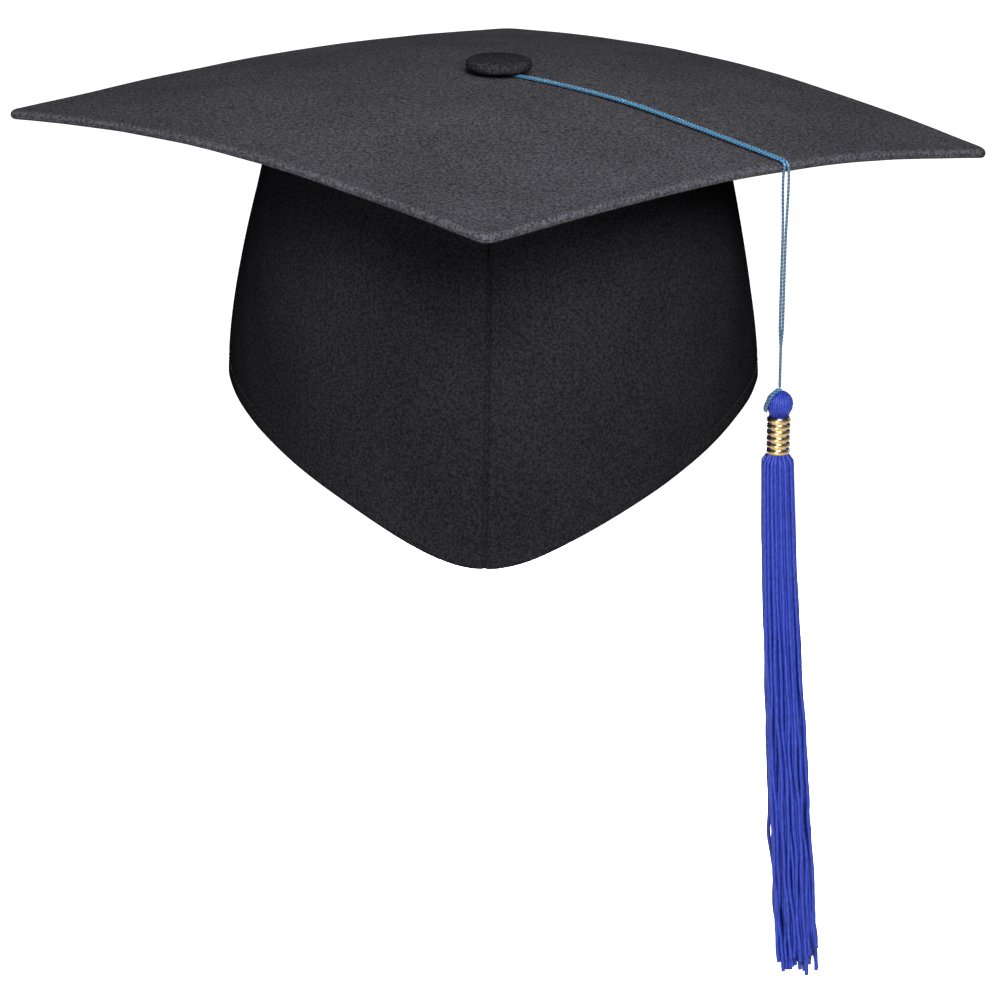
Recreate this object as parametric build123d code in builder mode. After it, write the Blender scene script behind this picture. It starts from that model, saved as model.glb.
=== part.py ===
from build123d import *
import os
from math import asin, ceil, cos, pi, radians, sin, sqrt, tan

# Graduation cap: a drooping square board on a fabric crown, with a button and a corded tassel.
# Frame: +Z up, front at -Y, origin at the middle of the head opening, level with the side hem.
# All sizes are millimetres.

# Board
cap_height = 105.0  # head opening to the top of the board at its middle
board_side = 241.3
board_corner_radius = 4.0
core_thickness = 1.6
cover_thickness = 0.6
rim_wrap = 1.8  # cloth and seam allowance outside the core's edge
rim_rounding = 1.1
droop_radius = 555.0  # the bend round the board's middle
droop_reach = 85.0  # where that bend runs out into a straight slope

# Crown
opening_half_width = 92.3
opening_half_depth = 97.0
crown_taper = 19.8  # how far the wall leans in over the cap's height
crown_taper_power = 1.5
crown_stations = (-0.6, 0, 0.35, 0.7, 1.0)  # heights of its ovals, as shares of the cap's height
front_peak_drop = 45.0
front_sweep_share = 0.75  # how much of the front drop the long sweep gives; the point gives the rest
front_sweep_power = 1.9
front_point_power = 14
back_drop = 12.0
hem_stations = (-1.04, -1, -0.94, -0.85, -0.7, -0.5, -0.25, 0, 0.25, 0.5, 0.75, 1.04)
side_seam_angle = 112.0  # from the front seam
panel_thickness = 0.8
interfacing_thickness = 0.6
lining_thickness = 0.5
layer_gap = 0.05
seam_gap = 0.1
top_panel_thickness = 0.8
tape_width = 25.0
tape_thickness = 0.6
elastic_width = 20.0
elastic_thickness = 1.2
hem_setback = 2.0
stitch_length = 2.3
stitch_pitch = 3.4
stitch_thickness = 0.3
stitch_row_height = 5.5

# Button
button_diameter = 23.0
button_thickness = 5.0
button_cloth = 0.5
button_shell_thickness = 0.6
button_back_radius = 8.6
button_back_thickness = 0.8
button_rounding = 2.1
post_radius = 1.5
post_head_radius = 3.0
post_head_height = 0.8
post_hole_clearance = 0.1
washer_radius = 8.0
washer_thickness = 0.8
button_inner_gap = 0.05

# Cord and tassel
strand_diameter = 1.0
strand_spacing = 1.06
cord_direction = -37.0  # degrees from +X, across the front right edge
cord_clearance = 0.3
rim_clearance = 0.7
rim_bend_radius = 3.0
board_bend_radius = 500.0
hinge_gap = 0.4  # half of the free length at each bend
hinge_drop = 1.2  # from the end of the rim bend to the swing's axis
loop_strand_gap = 0.15
knot_height = 14.8
head_diameter = 9.1
head_gap = 0.8
ferrule_length = 13.0
ferrule_radius = 4.1
ferrule_wall = 0.5
ferrule_rings = 6
groove_depth = 0.25
slot_width = 2.6
binding_thickness = 0.4
skirt_length = 183.0
skirt_top_radius = 5.1
skirt_radius = 7.3
skirt_shoulder_drop = 6.0
skirt_swell_share = 0.65  # how far down the skirt it reaches its full width
loop_strand_diameter = 0.9
head_loop_start = -25.0  # degrees from level, on the head's -X side
head_loop_span = 115.0

board_thickness = core_thickness + 2 * cover_thickness
bend_angle = asin(droop_reach / droop_radius)
slope_length = board_side / sqrt(2)
far = 2 * board_side

interfacing_inset = panel_thickness + layer_gap
lining_inset = interfacing_inset + interfacing_thickness + layer_gap
tape_inset = lining_inset + lining_thickness + layer_gap
top_panel_depth = board_thickness + layer_gap
lining_depth = top_panel_depth + top_panel_thickness + layer_gap


def droop_curve(depth):
    """Four points of the board's top surface, sunk by depth: apex, mid bend, bend end, slope end."""
    radius = droop_radius - depth
    centre = cap_height - droop_radius
    apex = (0, centre + radius)
    middle = (radius * sin(bend_angle / 2), centre + radius * cos(bend_angle / 2))
    end = (radius * sin(bend_angle), centre + radius * cos(bend_angle))
    outer = (end[0] + slope_length * cos(bend_angle), end[1] - slope_length * sin(bend_angle))
    return apex, middle, end, outer


def droop_slab(upper, lower, mode=Mode.ADD):
    """What lies between two depths under the board's drooping top surface."""
    apex, middle, end, outer = droop_curve(upper)
    low_apex, low_middle, low_end, low_outer = droop_curve(lower)
    with BuildSketch(Plane.XZ) as profile:
        with BuildLine():
            ThreePointArc(apex, middle, end)
            Line(end, outer)
            Line(outer, low_outer)
            Line(low_outer, low_end)
            ThreePointArc(low_end, low_middle, low_apex)
            Line(low_apex, apex)
        make_face()
    revolve(profile.sketch, axis=Axis.Z, mode=mode)


def trim_to_board(inset):
    """Keep what stands inside the board's square outline."""
    side = board_side - 2 * inset
    with BuildSketch(Plane.XY) as outline:
        RectangleRounded(side, side, board_corner_radius - inset / 2, rotation=45)
    extrude(outline.sketch, amount=cap_height + board_thickness, mode=Mode.INTERSECT)


def post_hole():
    """The button post's hole, right through along Z."""
    with BuildSketch(Plane.XY) as hole:
        Circle(post_radius + post_hole_clearance)
    extrude(hole.sketch, amount=far, mode=Mode.SUBTRACT)


def crown_half_axes(height, inset):
    """Half width and half depth of the crown's oval at one height."""
    lean = crown_taper * (max(height, 0) / cap_height) ** crown_taper_power
    return opening_half_width - lean - inset, opening_half_depth - lean - inset


def crown_body(inset, mode=Mode.ADD):
    """A solid oval body under the crown's outer surface."""
    ovals = []
    for share in crown_stations:
        height = share * cap_height
        with BuildSketch(Plane.XY.offset(height)) as oval:
            Ellipse(*crown_half_axes(height, inset))
        ovals.append(oval.sketch)
    loft(ovals, mode=mode)


def hem_height(y):
    """Height of the crown's lower edge: a point at the front and a shallow dip at the back."""
    share = abs(y) / opening_half_depth
    if y > 0:
        return -back_drop * share**2
    sweep = front_sweep_share * share**front_sweep_power
    return -front_peak_drop * (sweep + (1 - front_sweep_share) * share**front_point_power)


def hem_region(lift, low, mode):
    """The band between the hem line, raised by lift, and a level line, through the whole crown."""
    places = [share * opening_half_depth for share in hem_stations]
    hem = [(y, hem_height(y) + lift) for y in places]
    with BuildSketch(Plane.YZ) as side_view:
        with BuildLine():
            Spline(*hem)
            Polyline(hem[-1], (hem[-1][0], low), (hem[0][0], low), hem[0])
        make_face()
    extrude(side_view.sketch, amount=opening_half_depth * 1.1, both=True, mode=mode)


def keep_sector(start, end):
    """Keep the part of the crown between two angles from the front, positive towards +X."""
    middle = (start + end) / 2
    corners = [(far * sin(radians(a)), -far * cos(radians(a))) for a in (start, middle, end)]
    with BuildSketch(Plane.XY.offset(-far)) as wedge:
        Polygon((0, 0), *corners, align=None)
        offset(amount=-seam_gap / 2, kind=Kind.INTERSECTION)
    extrude(wedge.sketch, amount=2 * far, mode=Mode.INTERSECT)


def crown_layer(inset, thickness, depth, lift, sector):
    """One cloth layer of the crown, from the hem up to the board, over one sector."""
    crown_body(inset)
    crown_body(inset + thickness, Mode.SUBTRACT)
    droop_slab(depth, cap_height * 2, Mode.INTERSECT)
    hem_region(lift, -far, Mode.SUBTRACT)
    keep_sector(*sector)


def hem_band(inset, thickness, width, sector):
    """A band sewn inside the hem: the layer between two raised hem lines."""
    crown_body(inset)
    crown_body(inset + thickness, Mode.SUBTRACT)
    hem_region(hem_setback + width, -far, Mode.INTERSECT)
    hem_region(hem_setback, -far, Mode.SUBTRACT)
    keep_sector(*sector)


def save(part, name):
    """Label one finished piece and write it as its own file."""
    part.label = name
    export_step(part, f"parts/{name}.step")


# Board: a stiff core between two cloth covers that meet half way down the rim
with BuildPart() as board_core:
    droop_slab(cover_thickness, cover_thickness + core_thickness)
    trim_to_board(rim_wrap)
    post_hole()
save(board_core.part, "board_core")

with BuildPart() as board_top_cover:
    droop_slab(0, board_thickness / 2)
    trim_to_board(0)
    top_face = board_top_cover.faces().filter_by(GeomType.CONE).sort_by(Axis.Z)[-1]
    fillet(top_face.outer_wire().edges(), rim_rounding)
    add(board_core.part, mode=Mode.SUBTRACT)
    post_hole()
save(board_top_cover.part, "board_top_cover")

with BuildPart() as board_bottom_cover:
    droop_slab(board_thickness / 2, board_thickness)
    trim_to_board(0)
    bottom_face = board_bottom_cover.faces().filter_by(GeomType.CONE).sort_by(Axis.Z)[0]
    fillet(bottom_face.outer_wire().edges(), rim_rounding)
    add(board_core.part, mode=Mode.SUBTRACT)
    post_hole()
save(board_bottom_cover.part, "board_bottom_cover")

# Crown: outer cloth, interfacing and lining, in panels that meet at the front and side seams
front_left = (-side_seam_angle, 0)
front_right = (0, side_seam_angle)
back = (side_seam_angle, 360 - side_seam_angle)
crown_sectors = {"front_left": front_left, "front_right": front_right, "back": back}

for place, sector in crown_sectors.items():
    with BuildPart() as crown_panel:
        crown_layer(0, panel_thickness, top_panel_depth, 0, sector)
    save(crown_panel.part, f"crown_{place}")

for place in ("front_left", "front_right"):
    with BuildPart() as interfacing:
        sector = crown_sectors[place]
        crown_layer(interfacing_inset, interfacing_thickness, top_panel_depth, hem_setback, sector)
    save(interfacing.part, f"interfacing_{place}")

for place, sector in crown_sectors.items():
    with BuildPart() as lining:
        crown_layer(lining_inset, lining_thickness, lining_depth, hem_setback, sector)
    save(lining.part, f"lining_{place}")

with BuildPart() as crown_top_panel:
    crown_body(lining_inset)
    droop_slab(top_panel_depth, top_panel_depth + top_panel_thickness, Mode.INTERSECT)
    post_hole()
save(crown_top_panel.part, "crown_top_panel")

with BuildPart() as headband_tape:
    hem_band(tape_inset, tape_thickness, tape_width, (-side_seam_angle, side_seam_angle))
save(headband_tape.part, "headband_tape")

with BuildPart() as rear_elastic:
    hem_band(tape_inset, elastic_thickness, elastic_width, back)
save(rear_elastic.part, "rear_elastic")


def stitch_point(angle):
    """A point of the hem's stitch row, on the crown's outer surface."""
    y = -opening_half_depth * cos(angle)
    height = hem_height(y) + stitch_row_height
    half_width, half_depth = crown_half_axes(height, -stitch_thickness / 2 - layer_gap)
    return Vector(half_width * sin(angle), -half_depth * cos(angle), height)


def stitch_places():
    """Where each stitch of the hem row lies: along the row, flat on the cloth."""
    count = ceil(pi * (opening_half_width + opening_half_depth) / stitch_pitch)
    for i in range(count):
        angle = 2 * pi * (i + 0.5) / count
        along = stitch_point(angle + 0.01) - stitch_point(angle - 0.01)
        across = Vector(sin(angle) / opening_half_width, -cos(angle) / opening_half_depth, 0)
        yield Location(Plane(stitch_point(angle), x_dir=along, z_dir=across))


with BuildPart() as hem_stitching:
    with Locations(*stitch_places()):
        Box(stitch_length, stitch_thickness, stitch_thickness)
save(hem_stitching.part, "hem_stitching")


# Button: cloth over a domed metal shell, a back plate, and a post through the board
strand_radius = strand_diameter / 2
loop_height = cap_height + cord_clearance + strand_radius
button_bottom = loop_height + strand_radius + cord_clearance
button_radius = button_diameter / 2
button_mouth = button_back_radius + button_inner_gap
washer_top = cap_height - lining_depth - washer_radius**2 / (2 * droop_radius)
clinch_top = washer_top - washer_thickness - layer_gap


def button_body(inset, mode=Mode.ADD):
    """The button's rounded disc, shrunk by inset all round."""
    height = button_thickness - 2 * inset
    with BuildSketch(Plane.XZ) as profile:
        with Locations((0, button_bottom + inset)):
            Rectangle(button_radius - inset, height, align=(Align.MIN, Align.MIN))
        rounding = button_rounding * height / button_thickness
        fillet(profile.vertices().group_by(Axis.X)[-1], rounding)
    revolve(profile.sketch, axis=Axis.Z, mode=mode)


def disc(radius, bottom, height, mode=Mode.ADD):
    """A round plate about Z."""
    with BuildSketch(Plane.XY.offset(bottom)) as plate:
        Circle(radius)
    extrude(plate.sketch, amount=height, mode=mode)


with BuildPart() as button_cover:
    button_body(0)
    button_body(button_cloth, Mode.SUBTRACT)
    disc(button_mouth, button_bottom, button_cloth, Mode.SUBTRACT)
save(button_cover.part, "button_cover")

with BuildPart() as button_shell:
    button_body(button_cloth + button_inner_gap)
    button_body(button_cloth + button_inner_gap + button_shell_thickness, Mode.SUBTRACT)
    disc(button_mouth, button_bottom, button_thickness / 2, Mode.SUBTRACT)
save(button_shell.part, "button_shell")

with BuildPart() as button_back:
    disc(button_back_radius, button_bottom, button_back_thickness)
    post_hole()
save(button_back.part, "button_back")

with BuildPart() as button_post:
    head_bottom = button_bottom + button_back_thickness + button_inner_gap
    disc(post_radius, clinch_top, head_bottom - clinch_top)
    disc(post_head_radius, head_bottom, post_head_height)
    disc(post_head_radius, clinch_top - post_head_height, post_head_height)
save(button_post.part, "button_post")

with BuildPart() as post_washer:
    disc(washer_radius, washer_top - washer_thickness, washer_thickness)
    post_hole()
save(post_washer.part, "post_washer")


# Tassel cord: a loop round the post, two strands over the board and two down to the tassel
edge_angle = radians(cord_direction + 45)
rim_reach = board_side / 2 / cos(edge_angle)
drop_reach = rim_reach + rim_clearance + strand_radius
lift = cord_clearance + strand_radius
slope_end = droop_curve(-lift)[2]
cord_plane = Plane((0, 0, 0), x_dir=(cos(radians(cord_direction)), sin(radians(cord_direction)), 0),
                   z_dir=(sin(radians(cord_direction)), -cos(radians(cord_direction)), 0))

loop_radius = post_radius + cord_clearance + strand_radius
run_start = loop_radius + strand_radius + loop_strand_gap
board_corner = (droop_radius + lift) * tan(bend_angle / 2)
rim_corner_height = slope_end[1] - (drop_reach - slope_end[0]) * tan(bend_angle)
rim_turn = pi / 2 - bend_angle
pivot_height = rim_corner_height - rim_bend_radius * tan(rim_turn / 2) - hinge_drop

run_route = [
    (run_start, loop_height),
    (board_corner, loop_height),
    (drop_reach, rim_corner_height),
    (drop_reach, pivot_height + hinge_gap),
]
run_radii = [board_bend_radius, rim_bend_radius]
print("cord bend radii, mm:", run_radii)
print("swing pivot: reach", round(drop_reach, 3), "height", round(pivot_height, 3))


def strand_plane(side):
    """The upright plane of one strand, half the spacing to one side of the cord's own plane."""
    return cord_plane.offset(side * strand_spacing / 2)


def run_length():
    """Length of one strand's centreline over the board and round the rim."""
    corners = [Vector(*p) for p in run_route]
    runs = [(b - a).length for a, b in zip(corners, corners[1:])]
    turns = [bend_angle, rim_turn]
    return sum(runs) - sum(r * (2 * tan(t / 2) - t) for r, t in zip(run_radii, turns))


with BuildPart() as tassel_loop:
    with Locations((0, 0, loop_height)):
        Torus(loop_radius, strand_radius)
save(tassel_loop.part, "tassel_loop")

for name, side in (("left", 1), ("right", -1)):
    with BuildPart() as cord_run:
        with BuildLine(strand_plane(side)) as path:
            FilletPolyline(*run_route, radius=run_radii)
        with BuildSketch(Plane(path.line @ 0, z_dir=path.line % 0)):
            Circle(strand_radius)
        sweep()
    print(name, "run volume against section by length:",
          round(cord_run.part.volume / (pi * strand_radius**2 * run_length()), 4))
    save(cord_run.part, f"cord_run_{name}")

drop_top = pivot_height - hinge_gap
drop_bottom = knot_height + hinge_gap
for name, side in (("left", 1), ("right", -1)):
    with BuildPart() as cord_drop:
        foot = strand_plane(side).from_local_coords((drop_reach, drop_bottom))
        with BuildSketch(Plane(foot)):
            Circle(strand_radius)
        extrude(amount=drop_top - drop_bottom)
    save(cord_drop.part, f"cord_drop_{name}")

# Tassel: a head of folded strands, bound and held in a ringed ferrule, over a long skirt
head_radius = head_diameter / 2
head_centre = knot_height - head_gap - head_radius
ferrule_top = head_centre - head_radius
ferrule_bottom = ferrule_top - ferrule_length
neck_radius = ferrule_radius - ferrule_wall - layer_gap - binding_thickness - layer_gap
hang = cord_plane.from_local_coords((drop_reach, 0))
tassel_axis = Axis(hang, (0, 0, 1))
tassel_plane = Plane(hang, x_dir=cord_plane.x_dir, z_dir=cord_plane.z_dir)


def tube(outer, inner, bottom, top):
    """A round tube about the tassel's own axis."""
    with BuildSketch(Plane(hang).offset(bottom)) as ring:
        Circle(outer)
        Circle(inner, mode=Mode.SUBTRACT)
    extrude(ring.sketch, amount=top - bottom)


with BuildPart() as tassel_head:
    with Locations(hang + Vector(0, 0, head_centre)):
        Sphere(head_radius)
    with BuildSketch(Plane(hang).offset(ferrule_bottom)):
        Circle(neck_radius)
    extrude(amount=head_centre - ferrule_bottom)
    with BuildSketch(Plane(hang).offset(ferrule_bottom)):
        Circle(head_radius)
        Circle(neck_radius, mode=Mode.SUBTRACT)
    extrude(amount=ferrule_length + layer_gap, mode=Mode.SUBTRACT)
save(tassel_head.part, "tassel_head")

with BuildPart() as tassel_binding:
    tube(neck_radius + layer_gap + binding_thickness, neck_radius + layer_gap, ferrule_bottom, ferrule_top)
save(tassel_binding.part, "tassel_binding")

ring_pitch = ferrule_length / ferrule_rings
with BuildPart() as tassel_ferrule:
    tube(ferrule_radius, ferrule_radius - ferrule_wall, ferrule_bottom, ferrule_top)
    for i in range(1, ferrule_rings):
        groove = ferrule_bottom + i * ring_pitch
        with Locations(hang + Vector(0, 0, groove)):
            Torus(ferrule_radius + groove_depth, 2 * groove_depth, mode=Mode.SUBTRACT)
            Box(3 * ferrule_radius, slot_width, ring_pitch / 2, mode=Mode.SUBTRACT)
save(tassel_ferrule.part, "tassel_ferrule")

head_loop_radius = head_radius + layer_gap + loop_strand_diameter / 2
with BuildPart() as head_loop:
    with BuildLine(Plane(hang + Vector(0, 0, head_centre), x_dir=(-1, 0, 0), z_dir=(0, 1, 0))) as path:
        CenterArc((0, 0), head_loop_radius, head_loop_start, head_loop_span)
    with BuildSketch(Plane(path.line @ 0, z_dir=path.line % 0)):
        Circle(loop_strand_diameter / 2)
    sweep()
save(head_loop.part, "head_loop")

with BuildPart() as tassel_skirt:
    skirt_top = ferrule_bottom - layer_gap
    with BuildSketch(tassel_plane):
        with BuildLine():
            Polyline((0, skirt_top), (neck_radius, skirt_top),
                     (skirt_top_radius, skirt_top - skirt_shoulder_drop),
                     (skirt_radius, skirt_top - skirt_swell_share * skirt_length),
                     (skirt_radius, skirt_top - skirt_length),
                     (0, skirt_top - skirt_length), (0, skirt_top))
        make_face()
    revolve(axis=tassel_axis)
save(tassel_skirt.part, "tassel_skirt")

print("swing axis point, mm:", cord_plane.from_local_coords((drop_reach, pivot_height)))
print("sway axis point, mm:", cord_plane.from_local_coords((drop_reach, knot_height)))
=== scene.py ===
import math
from math import cos, pi, radians, sin, sqrt

import bmesh
import bpy
import numpy as np
from mathutils import Matrix, Vector, noise


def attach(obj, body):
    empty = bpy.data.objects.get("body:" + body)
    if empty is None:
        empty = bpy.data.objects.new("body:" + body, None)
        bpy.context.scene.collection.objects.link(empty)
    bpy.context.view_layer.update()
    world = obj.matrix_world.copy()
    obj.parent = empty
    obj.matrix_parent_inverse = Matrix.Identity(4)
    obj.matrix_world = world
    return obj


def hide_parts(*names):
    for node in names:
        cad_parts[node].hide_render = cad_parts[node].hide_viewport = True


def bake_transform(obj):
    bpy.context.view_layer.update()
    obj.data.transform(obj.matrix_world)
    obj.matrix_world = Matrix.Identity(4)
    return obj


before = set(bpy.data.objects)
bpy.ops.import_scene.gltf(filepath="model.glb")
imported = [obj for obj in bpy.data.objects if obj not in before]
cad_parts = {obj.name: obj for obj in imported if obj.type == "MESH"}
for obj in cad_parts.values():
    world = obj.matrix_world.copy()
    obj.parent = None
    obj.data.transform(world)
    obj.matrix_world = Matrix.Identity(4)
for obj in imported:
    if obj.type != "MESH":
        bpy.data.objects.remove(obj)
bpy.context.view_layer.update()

# The studio: a pale floor and backdrop in one sweep, far enough below the cap that no shadow shows,
# a large soft light overhead and a weaker one in front, as for a catalogue picture.
mm = 0.001
aim = Vector((0.0032, 0.0, -0.0479))
camera_azimuth = radians(1.09)
camera_elevation = radians(15.81)
camera_roll = radians(1.0)
camera_distance = 2.237
camera_lens = 228.6


def place_camera():
    """A long lens on the cap's front corner, from a little above."""
    forward = Vector((-sin(camera_azimuth) * cos(camera_elevation),
                      cos(camera_azimuth) * cos(camera_elevation),
                      -sin(camera_elevation)))
    level = Vector((cos(camera_azimuth), sin(camera_azimuth), 0))
    upright = level.cross(forward)
    right = level * cos(camera_roll) + upright * sin(camera_roll)
    up = upright * cos(camera_roll) - level * sin(camera_roll)
    data = bpy.data.cameras.new("camera")
    data.lens = camera_lens
    data.sensor_width = 36
    data.clip_end = 50
    camera = bpy.data.objects.new("camera", data)
    bpy.context.collection.objects.link(camera)
    turn = Matrix((right, up, -forward)).transposed().to_4x4()
    camera.matrix_world = Matrix.Translation(aim - forward * camera_distance) @ turn
    bpy.context.scene.camera = camera


def soft_light(name, place, size, power):
    """A square soft box that faces the cap."""
    data = bpy.data.lights.new(name, "AREA")
    data.size = size
    data.energy = power
    light = bpy.data.objects.new(name, data)
    light.location = place
    light.rotation_euler = (aim - Vector(place)).to_track_quat("-Z", "Y").to_euler()
    bpy.context.collection.objects.link(light)


def srgb(hex_colour):
    """A hex colour as the linear colour that a shader takes."""
    parts = [int(hex_colour[i:i + 2], 16) / 255 for i in (1, 3, 5)]
    return [p / 12.92 if p <= 0.04045 else ((p + 0.055) / 1.055) ** 2.4 for p in parts] + [1.0]


def add_node(tree, kind, inputs=None, **settings):
    """Add one node: its settings, then its inputs by name or in order. Each is a value, a socket to
    link, or a node to link by its first output in use."""
    new = tree.nodes.new(kind)
    for name, value in settings.items():
        setattr(new, name, value)
    for key, value in inputs.items() if isinstance(inputs, dict) else enumerate(inputs or ()):
        if isinstance(value, bpy.types.Node):
            value = next(output for output in value.outputs if output.enabled)
        if isinstance(value, bpy.types.NodeSocket):
            tree.links.new(value, new.inputs[key])
        else:
            new.inputs[key].default_value = value
    return new


def new_material(name, **shader):
    """A material, its tree and its shader, with the shader's plain sockets set."""
    material = bpy.data.materials.new(name)
    material.use_nodes = True
    tree = material.node_tree
    bsdf = tree.nodes["Principled BSDF"]
    for key, value in shader.items():
        bsdf.inputs[key.replace("_", " ")].default_value = value
    return material, tree, bsdf


def make_studio():
    """World, lights and the floor's sweep."""
    world = bpy.data.worlds.new("studio")
    world.use_nodes = True
    world.node_tree.nodes["Background"].inputs["Color"].default_value = (1, 1, 1, 1)
    world.node_tree.nodes["Background"].inputs["Strength"].default_value = 0.13
    bpy.context.scene.world = world
    bpy.context.scene.view_settings.view_transform = "Standard"
    soft_light("key", (0.3, -1.95, 1.2), 0.9, 102)
    soft_light("front", (-0.5, -2.2, -0.4), 0.7, 30)
    soft_light("back", (-0.15, 2.4, -0.15), 1.0, 60)
    floor_mesh = bpy.data.meshes.new("floor")
    low, wide, near, far, high = -0.75, 12.0, -6.0, 5.0, 6.0
    corners = [(-wide, near, low), (wide, near, low), (wide, far, low), (-wide, far, low),
               (wide, far + 1, high), (-wide, far + 1, high)]
    floor_mesh.from_pydata(corners, [], [(0, 1, 2, 3), (3, 2, 4, 5)])
    floor = bpy.data.objects.new("floor", floor_mesh)
    bpy.context.collection.objects.link(floor)
    material, _, _ = new_material("studio_paper", Base_Color=srgb("#f4f4f4"), Roughness=0.9,
                                        Emission_Color=(1, 1, 1, 1), Emission_Strength=1.0)
    floor.data.materials.append(material)
    floor.visible_diffuse = False


place_camera()
make_studio()

# Tassel cord: one thin twisted rayon cord, doubled. Its loop lies round the button's post, and its two
# strands run side by side over the board, turn over the rim and hang to the tassel's head, where they
# come together one behind the other.
cord_direction = radians(-37.0)
strand_diameter = 1.0
strand_spacing = 1.5
cord_route = [(2.95, 105.8), (42.81, 105.8), (98.0, 97.2), (117.5, 94.05), (123.2, 93.05),
              (123.036, 89.0), (123.1, 74.0), (122.9, 46.0), (123.036, 14.85)]
outward = Vector((cos(cord_direction), sin(cord_direction), 0))
sideways = Vector((-sin(cord_direction), cos(cord_direction), 0))


def cord_point(reach, height):
    """A point in the cord's upright plane, in metres."""
    return (outward * reach + Vector((0, 0, height))) * mm


def link(data, name):
    """A new object of this mesh or curve, in the scene."""
    piece = bpy.data.objects.new(name, data)
    bpy.context.collection.objects.link(piece)
    return piece


def spline_points(points, name):
    """The smooth line of a NURBS spline with these control points."""
    data = bpy.data.curves.new(name, "CURVE")
    data.dimensions = "3D"
    spline = data.splines.new("NURBS")
    spline.points.add(len(points) - 1)
    for control, place in zip(spline.points, points):
        control.co = (*place, 1)
    spline.order_u = 3
    spline.use_endpoint_u = True
    spline.resolution_u = 24
    guide = link(data, name)
    bpy.context.view_layer.update()
    graph = bpy.context.evaluated_depsgraph_get()
    mesh = bpy.data.meshes.new_from_object(guide.evaluated_get(graph))
    line = [vertex.co.copy() for vertex in mesh.vertices]
    bpy.data.objects.remove(guide)
    bpy.data.meshes.remove(mesh)
    return line


def even_points(line, step):
    """The same line with points at one even spacing, and the length along it at each."""
    points = np.array([list(p) for p in line])
    along = np.concatenate([[0], np.cumsum(np.linalg.norm(np.diff(points, axis=0), axis=1))])
    marks = np.linspace(0, along[-1], max(2, int(along[-1] / step)))
    return np.stack([np.interp(marks, along, points[:, i]) for i in range(3)], axis=1), marks


def mesh_piece(name, points, faces, material):
    """A piece from points in metres and faces, shaded smooth."""
    data = bpy.data.meshes.new(name)
    data.from_pydata([tuple(p) for p in points], [], faces)
    data.materials.append(material)
    data.update()
    data.shade_smooth()
    return link(data, name)


def grid_faces(rows, columns, closed=False, start=0):
    """Quads over rows of points; closed joins each row's end to its start."""
    faces = []
    for i in range(rows - 1):
        for j in range(columns if closed else columns - 1):
            k = (j + 1) % columns
            a, b = start + i * columns, start + (i + 1) * columns
            faces.append((a + j, a + k, b + k, b + j))
    return faces


def rope_mesh(centre, radius, lay_length, around, start, turn):
    """One laid cord: a round section with two soft lobes that wind along it. Gives its points, how
    deep in a groove each lies, and its faces."""
    count = len(centre)
    tangent = np.gradient(centre, axis=0)
    tangent /= np.linalg.norm(tangent, axis=1)[:, None]
    side = np.zeros_like(centre)
    last = np.cross(tangent[0], np.array([0.3, 0.2, 0.93]))
    for i in range(count):
        last = last - tangent[i] * np.dot(last, tangent[i])
        last = last / np.linalg.norm(last)
        side[i] = last
    other = np.cross(tangent, side)
    along = np.concatenate([[0], np.cumsum(np.linalg.norm(np.diff(centre, axis=0), axis=1))])
    points, grooves = [], []
    for i in range(count):
        wind = turn * 2 * pi * along[i] / lay_length
        end = min(1.0, sqrt(max(0.0, min(along[i], along[-1] - along[i]) / radius + 0.05)))
        for j in range(around):
            a = 2 * pi * j / around
            crest = abs(cos(a - wind))
            r = radius * end * (0.74 + 0.26 * crest)
            points.append(centre[i] + r * (cos(a) * side[i] + sin(a) * other[i]))
            grooves.append(1 - crest)
    faces = grid_faces(count, around, closed=True, start=start)
    faces.append(tuple(start + j for j in reversed(range(around))))
    faces.append(tuple(start + (count - 1) * around + j for j in range(around)))
    return points, grooves, faces


def rope_piece(name, centres, radius, lay_length, material, around):
    """One piece of several laid cords."""
    points, grooves, faces = [], [], []
    for i, centre in enumerate(centres):
        more, deep, quads = rope_mesh(centre, radius, lay_length, around, start=len(points),
                                      turn=1 if i % 2 == 0 else -1)
        points += more
        grooves += deep
        faces += quads
    piece = mesh_piece(name, points, faces, material)
    # The groove value is kept on the mesh for the painted shade between the plies.
    piece.data.attributes.new("groove", "FLOAT", "POINT").data.foreach_set("value", grooves)
    return piece


def rayon_cord_material():
    """Twisted rayon: satin threads that catch a long highlight, with painted shade where the plies meet."""
    material, tree, bsdf = new_material("twisted_rayon_cord", Roughness=0.42, Sheen_Weight=0.15)
    place = add_node(tree, "ShaderNodeTexCoord")
    fibre = add_node(tree, "ShaderNodeTexNoise", {"Vector": place.outputs["Object"],
        "Scale": 1 / (0.45 * mm), "Detail": 2.0})
    lit = add_node(tree, "ShaderNodeMix", {"Factor": fibre, "A": srgb("#1a557d"), "B": srgb("#4e97c0")},
        data_type="RGBA")
    groove = add_node(tree, "ShaderNodeAttribute", attribute_name="groove")
    deep = add_node(tree, "ShaderNodeMapRange", {"Value": groove.outputs["Fac"], "From Min": 0.12,
        "From Max": 0.7})
    # Painted shade: the colour goes to dark navy by the groove value, deepest where the plies meet.
    colour = add_node(tree, "ShaderNodeMix", {"Factor": deep, "A": lit, "B": srgb("#0b2236")},
        data_type="RGBA")
    tree.links.new(colour.outputs["Result"], bsdf.inputs["Base Color"])
    bump = add_node(tree, "ShaderNodeBump", {"Height": fibre, "Strength": 0.35, "Distance": 0.2 * mm})
    tree.links.new(bump.outputs["Normal"], bsdf.inputs["Normal"])
    return material


def place_in_frame(piece, body, slot, *nodes):
    """The piece moves with this body and stands for these CAD nodes, which are hidden. The slot is not used.
    """
    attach(piece, body)
    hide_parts(*nodes)


cord_blue = rayon_cord_material()
cord_line, cord_marks = even_points(spline_points([cord_point(*p) for p in cord_route], "cord_guide"),
                                    0.3 * mm)
cord_length = cord_marks[-1]
rim_mark = cord_marks[np.argmax(cord_line[:, 2] < 93.0 * mm)]


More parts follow.
